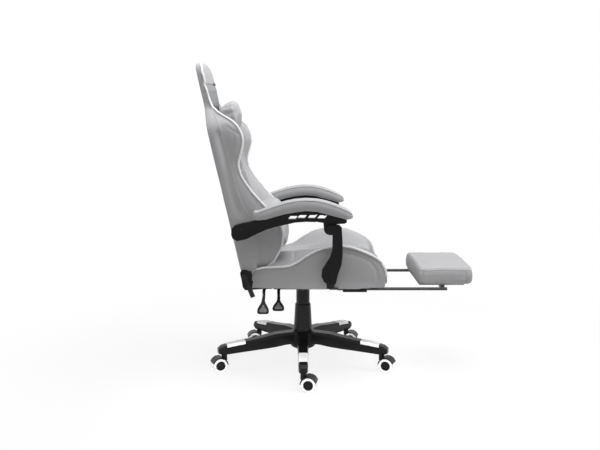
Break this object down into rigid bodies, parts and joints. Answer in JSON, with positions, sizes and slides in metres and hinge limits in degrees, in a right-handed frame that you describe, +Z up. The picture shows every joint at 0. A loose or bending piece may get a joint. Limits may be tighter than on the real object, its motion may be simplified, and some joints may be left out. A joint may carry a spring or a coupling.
{
  "type": "gaming chair",
  "caption": "Gaming chair with a winged mesh back, neck and lumbar cushions, linked arms that follow the recline, a slide-out footrest and a star base on twin-wheel casters.",
  "frame": {"origin": "centre of the chair's overall box at floor level, with the footrest out", "axes": "+Z up, -Y the way the sitter faces, -X the sitter's right, where the levers are"},
  "size_m": [0.6824, 1.035, 1.1927],
  "materials": {
    "light_fabric": "light grey woven upholstery",
    "mesh_fabric": "darker grey mesh upholstery",
    "pale_plastic": "satin white",
    "black_plastic": "black, slightly glossy",
    "dark_steel": "dark powder coat",
    "bright_steel": "bright steel",
    "board": "plywood",
    "elastic": "light grey woven elastic"
  },
  "bodies": {
    "base": {"star_base": "black_plastic", "gas_tube": "dark_steel", "lower_cover": "black_plastic", "spoke_inlay_1": "pale_plastic", "spoke_inlay_2": "pale_plastic", "spoke_inlay_3": "pale_plastic", "spoke_inlay_4": "pale_plastic", "spoke_inlay_5": "pale_plastic"},
    "lift": {"gas_cylinder": "bright_steel", "upper_cover": "black_plastic"},
    "swivel": {"mechanism_socket": "dark_steel"},
    "seat": {"mechanism_housing": "dark_steel", "tilt_pin": "bright_steel", "seat_board": "board", "seat_cushion": "mesh_fabric", "seat_bolster_left": "light_fabric", "seat_bolster_right": "light_fabric", "recline_bracket": "dark_steel", "recline_cover_left": "black_plastic", "recline_cover_right": "black_plastic", "arm_bracket": "dark_steel", "footrest_guide_left": "black_plastic", "footrest_guide_right": "black_plastic"},
    "height_lever": {"height_lever": "black_plastic"},
    "tilt_lever": {"tilt_lever": "black_plastic"},
    "recline_lever": {"recline_lever": "dark_steel"},
    "footrest": {"footrest_frame": "dark_steel"},
    "footrest_board": {"footrest_plate": "black_plastic", "footrest_pad": "light_fabric"},
    "back": {"back_frame": "dark_steel", "rear_panel": "light_fabric", "back_cushion": "mesh_fabric", "head_cushion": "light_fabric", "back_wing_left": "light_fabric", "back_wing_right": "light_fabric", "neck_pillow": "light_fabric", "neck_strap": "elastic", "lumbar_cushion": "light_fabric"},
    "arm_left": {"arm_left": "black_plastic", "arm_pad_left": "light_fabric"},
    "arm_right": {"arm_right": "black_plastic", "arm_pad_right": "light_fabric"},
    "post_left": {"post_left": "black_plastic"},
    "post_right": {"post_right": "black_plastic"},
    "caster_1": {"caster_hood_1": "black_plastic"},
    "wheel_1a": {"wheel_1a": "pale_plastic"},
    "wheel_1b": {"wheel_1b": "pale_plastic"},
    "caster_2": {"caster_hood_2": "black_plastic"},
    "wheel_2a": {"wheel_2a": "pale_plastic"},
    "wheel_2b": {"wheel_2b": "pale_plastic"},
    "caster_3": {"caster_hood_3": "black_plastic"},
    "wheel_3a": {"wheel_3a": "pale_plastic"},
    "wheel_3b": {"wheel_3b": "pale_plastic"},
    "caster_4": {"caster_hood_4": "black_plastic"},
    "wheel_4a": {"wheel_4a": "pale_plastic"},
    "wheel_4b": {"wheel_4b": "pale_plastic"},
    "caster_5": {"caster_hood_5": "black_plastic"},
    "wheel_5a": {"wheel_5a": "pale_plastic"},
    "wheel_5b": {"wheel_5b": "pale_plastic"}
  },
  "joints": [
    {"name": "caster_1_swivel", "type": "hinge", "parent": "base", "child": "caster_1", "pos_m": [-0.30858, 0.11253, 0.068], "axis": [0, 0, 1], "continuous": true},
    {"name": "wheel_1a_spin", "type": "hinge", "parent": "caster_1", "child": "wheel_1a", "pos_m": [-0.29647, 0.08862, 0.0275], "axis": [0.9854, -0.1701, 0], "continuous": true},
    {"name": "wheel_1b_spin", "type": "hinge", "parent": "caster_1", "child": "wheel_1b", "pos_m": [-0.32801, 0.09406, 0.0275], "axis": [0.9854, -0.1701, 0], "continuous": true},
    {"name": "caster_2_swivel", "type": "hinge", "parent": "base", "child": "caster_2", "pos_m": [-0.08402, -0.19657, 0.068], "axis": [0, 0, 1], "continuous": true},
    {"name": "wheel_2a_spin", "type": "hinge", "parent": "caster_2", "child": "wheel_2a", "pos_m": [-0.0771, -0.22246, 0.0275], "axis": [0.9292, -0.3697, 0], "continuous": true},
    {"name": "wheel_2b_spin", "type": "hinge", "parent": "caster_2", "child": "wheel_2b", "pos_m": [-0.10683, -0.21063, 0.0275], "axis": [0.9292, -0.3697, 0], "continuous": true},
    {"name": "caster_3_swivel", "type": "hinge", "parent": "base", "child": "caster_3", "pos_m": [0.27935, -0.0785, 0.068], "axis": [0, 0, 1], "continuous": true},
    {"name": "wheel_3a_spin", "type": "hinge", "parent": "caster_3", "child": "wheel_3a", "pos_m": [0.29072, -0.10277, 0.0275], "axis": [0.9798, -0.2, 0], "continuous": true},
    {"name": "wheel_3b_spin", "type": "hinge", "parent": "caster_3", "child": "wheel_3b", "pos_m": [0.25937, -0.09637, 0.0275], "axis": [0.9798, -0.2, 0], "continuous": true},
    {"name": "caster_4_swivel", "type": "hinge", "parent": "base", "child": "caster_4", "pos_m": [0.27935, 0.30356, 0.068], "axis": [0, 0, 1], "continuous": true},
    {"name": "wheel_4a_spin", "type": "hinge", "parent": "caster_4", "child": "wheel_4a", "pos_m": [0.25992, 0.32202, 0.0275], "axis": [-0.9854, -0.1701, 0], "continuous": true},
    {"name": "wheel_4b_spin", "type": "hinge", "parent": "caster_4", "child": "wheel_4b", "pos_m": [0.29146, 0.32747, 0.0275], "axis": [-0.9854, -0.1701, 0], "continuous": true},
    {"name": "caster_5_swivel", "type": "hinge", "parent": "base", "child": "caster_5", "pos_m": [-0.08402, 0.42162, 0.068], "axis": [0, 0, 1], "continuous": true},
    {"name": "wheel_5a_spin", "type": "hinge", "parent": "caster_5", "child": "wheel_5a", "pos_m": [-0.10683, 0.43568, 0.0275], "axis": [-0.9292, -0.3697, 0], "continuous": true},
    {"name": "wheel_5b_spin", "type": "hinge", "parent": "caster_5", "child": "wheel_5b", "pos_m": [-0.0771, 0.44751, 0.0275], "axis": [-0.9292, -0.3697, 0], "continuous": true},
    {"name": "column_lift", "type": "slide", "parent": "base", "child": "lift", "axis": [0, 0, 1], "range_m": [0, 0.08]},
    {"name": "seat_swivel", "type": "hinge", "parent": "lift", "child": "swivel", "pos_m": [0.01641, 0.11253, 0.306], "axis": [0, 0, 1], "continuous": true},
    {"name": "seat_tilt", "type": "hinge", "parent": "swivel", "child": "seat", "pos_m": [0.01641, 0.06753, 0.332], "axis": [-1, 0, 0], "range_deg": [0, 12], "stiffness_Nm_per_rad": 160, "springref_deg": -22.92},
    {"name": "height_lever_lift", "type": "hinge", "parent": "seat", "child": "height_lever", "pos_m": [-0.05389, 0.20353, 0.33], "axis": [0, 1, 0], "range_deg": [0, 6], "stiffness_Nm_per_rad": 0.8, "springref_deg": -17.19},
    {"name": "tilt_lever_lift", "type": "hinge", "parent": "seat", "child": "tilt_lever", "pos_m": [-0.05389, 0.21753, 0.33], "axis": [0, 1, 0], "range_deg": [0, 6]},
    {"name": "recline_lever_pull", "type": "hinge", "parent": "seat", "child": "recline_lever", "pos_m": [0.01641, 0.32653, 0.409], "axis": [-1, 0, 0], "range_deg": [0, 25], "stiffness_Nm_per_rad": 0.4, "springref_deg": -22.92},
    {"name": "footrest_slide", "type": "slide", "parent": "seat", "child": "footrest", "axis": [0, 1, 0], "range_m": [0, 0.28]},
    {"name": "footrest_turn", "type": "hinge", "parent": "footrest", "child": "footrest_board", "pos_m": [0.01641, -0.42147, 0.347], "axis": [1, 0, 0], "range_deg": [0, 180]},
    {"name": "back_recline", "type": "hinge", "parent": "seat", "child": "back", "pos_m": [0.01641, 0.32653, 0.409], "axis": [-1, 0, 0], "range_deg": [0, 38]},
    {"name": "arm_left_pivot", "type": "hinge", "parent": "back", "child": "arm_left", "pos_m": [0.01641, 0.33453, 0.581], "axis": [-1, 0, 0], "range_deg": [-38, 0]},
    {"name": "post_left_pivot", "type": "hinge", "parent": "seat", "child": "post_left", "pos_m": [0.01641, 0.00753, 0.416], "axis": [-1, 0, 0], "range_deg": [0, 38]},
    {"name": "arm_right_pivot", "type": "hinge", "parent": "back", "child": "arm_right", "pos_m": [0.01641, 0.33453, 0.581], "axis": [-1, 0, 0], "range_deg": [-38, 0]},
    {"name": "post_right_pivot", "type": "hinge", "parent": "seat", "child": "post_right", "pos_m": [0.01641, 0.00753, 0.416], "axis": [-1, 0, 0], "range_deg": [0, 38]}
  ],
  "couplings": [
    {"joint": "footrest_turn", "follows": "footrest_slide", "rad_per_m": 11.22},
    {"joint": "arm_left_pivot", "follows": "back_recline", "ratio": -1},
    {"joint": "post_left_pivot", "follows": "back_recline", "ratio": 1},
    {"joint": "arm_right_pivot", "follows": "back_recline", "ratio": -1},
    {"joint": "post_right_pivot", "follows": "back_recline", "ratio": 1}
  ]
}
